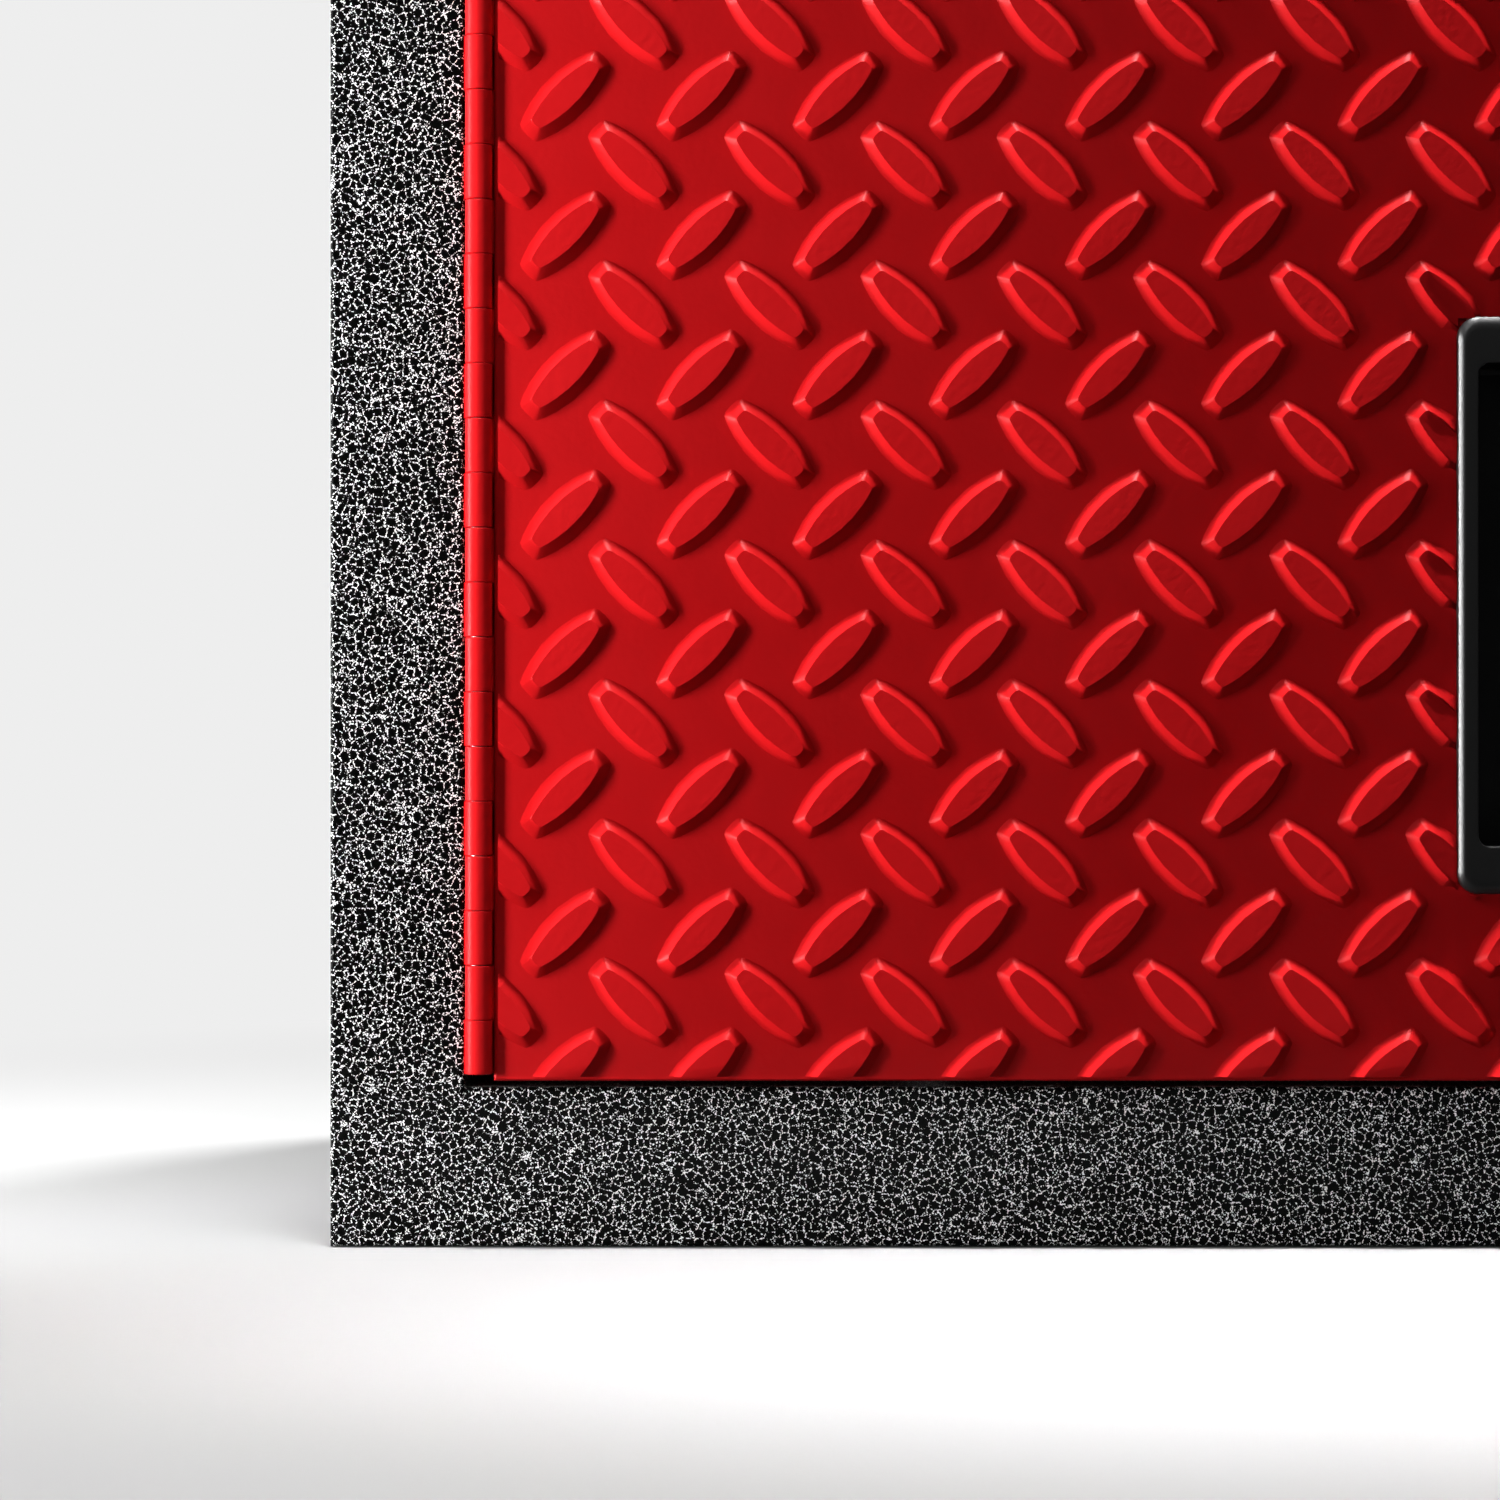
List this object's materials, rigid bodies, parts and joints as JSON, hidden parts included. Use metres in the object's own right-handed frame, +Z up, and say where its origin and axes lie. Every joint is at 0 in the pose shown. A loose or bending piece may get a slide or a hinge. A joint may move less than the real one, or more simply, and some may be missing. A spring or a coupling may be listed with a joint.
{
  "type": "wall cabinet",
  "caption": "Steel wall cabinet with two hinged tread-plate doors, recessed black handles, a shelf, magnetic catches and wall rails.",
  "frame": {"origin": "centre of the carcass's flat underside, midway between the sides and between the frame's front and the back", "axes": "+X to the right seen from the front, +Y from the doors to the back, +Z up"},
  "size_m": [0.7112, 0.3113, 0.7112],
  "materials": {
    "frame_coat": "near-black powder coat with a fine silver vein, semi-gloss",
    "door_coat": "red powder coat, glossy with slight orange peel",
    "zinc_steel": "bright zinc plate, satin",
    "handle_plastic": "moulded black, fine spark texture",
    "badge_metal": "brushed",
    "badge_plastic": "smooth black, bare",
    "catch_plastic": "moulded nylon",
    "magnet": "sintered ferrite",
    "rubber": "matt"
  },
  "bodies": {
    "cabinet": {"left_side_panel": "frame_coat", "right_side_panel": "frame_coat", "bottom_rail": "frame_coat", "top_rail": "frame_coat", "bottom_panel": "frame_coat", "top_panel": "frame_coat", "back_panel": "frame_coat", "lower_wall_rail": "frame_coat", "upper_wall_rail": "frame_coat", "left_front_standard": "zinc_steel", "left_rear_standard": "zinc_steel", "right_front_standard": "zinc_steel", "right_rear_standard": "zinc_steel", "shelf": "frame_coat", "shelf_clips": "zinc_steel", "left_hinge_frame_leaf": "door_coat", "left_hinge_pin": "zinc_steel", "right_hinge_frame_leaf": "door_coat", "right_hinge_pin": "zinc_steel", "lower_catch_housing": "catch_plastic", "lower_catch_magnets": "magnet", "lower_catch_poles": "zinc_steel", "upper_catch_housing": "catch_plastic", "upper_catch_magnets": "magnet", "upper_catch_poles": "zinc_steel", "catch_screws": "zinc_steel", "badge_frame": "badge_metal", "badge_insert": "badge_plastic"},
    "left_door": {"left_door_skin": "door_coat", "left_door_liner": "door_coat", "left_door_stiffener": "door_coat", "left_hinge_door_leaf": "door_coat", "left_handle": "handle_plastic", "left_handle_clips": "zinc_steel", "left_lower_strike": "zinc_steel", "left_upper_strike": "zinc_steel", "left_bumpers": "rubber"},
    "right_door": {"right_door_skin": "door_coat", "right_door_liner": "door_coat", "right_door_stiffener": "door_coat", "right_hinge_door_leaf": "door_coat", "right_handle": "handle_plastic", "right_handle_clips": "zinc_steel", "right_lower_strike": "zinc_steel", "right_upper_strike": "zinc_steel", "right_bumpers": "rubber"}
  },
  "joints": [
    {"name": "left_door_hinge", "type": "hinge", "parent": "cabinet", "child": "left_door", "pos_m": [-0.3207, -0.1556, 0.3556], "axis": [0, 0, -1], "range_deg": [0, 170]},
    {"name": "right_door_hinge", "type": "hinge", "parent": "cabinet", "child": "right_door", "pos_m": [0.3207, -0.1556, 0.3556], "axis": [0, 0, 1], "range_deg": [0, 170]}
  ]
}
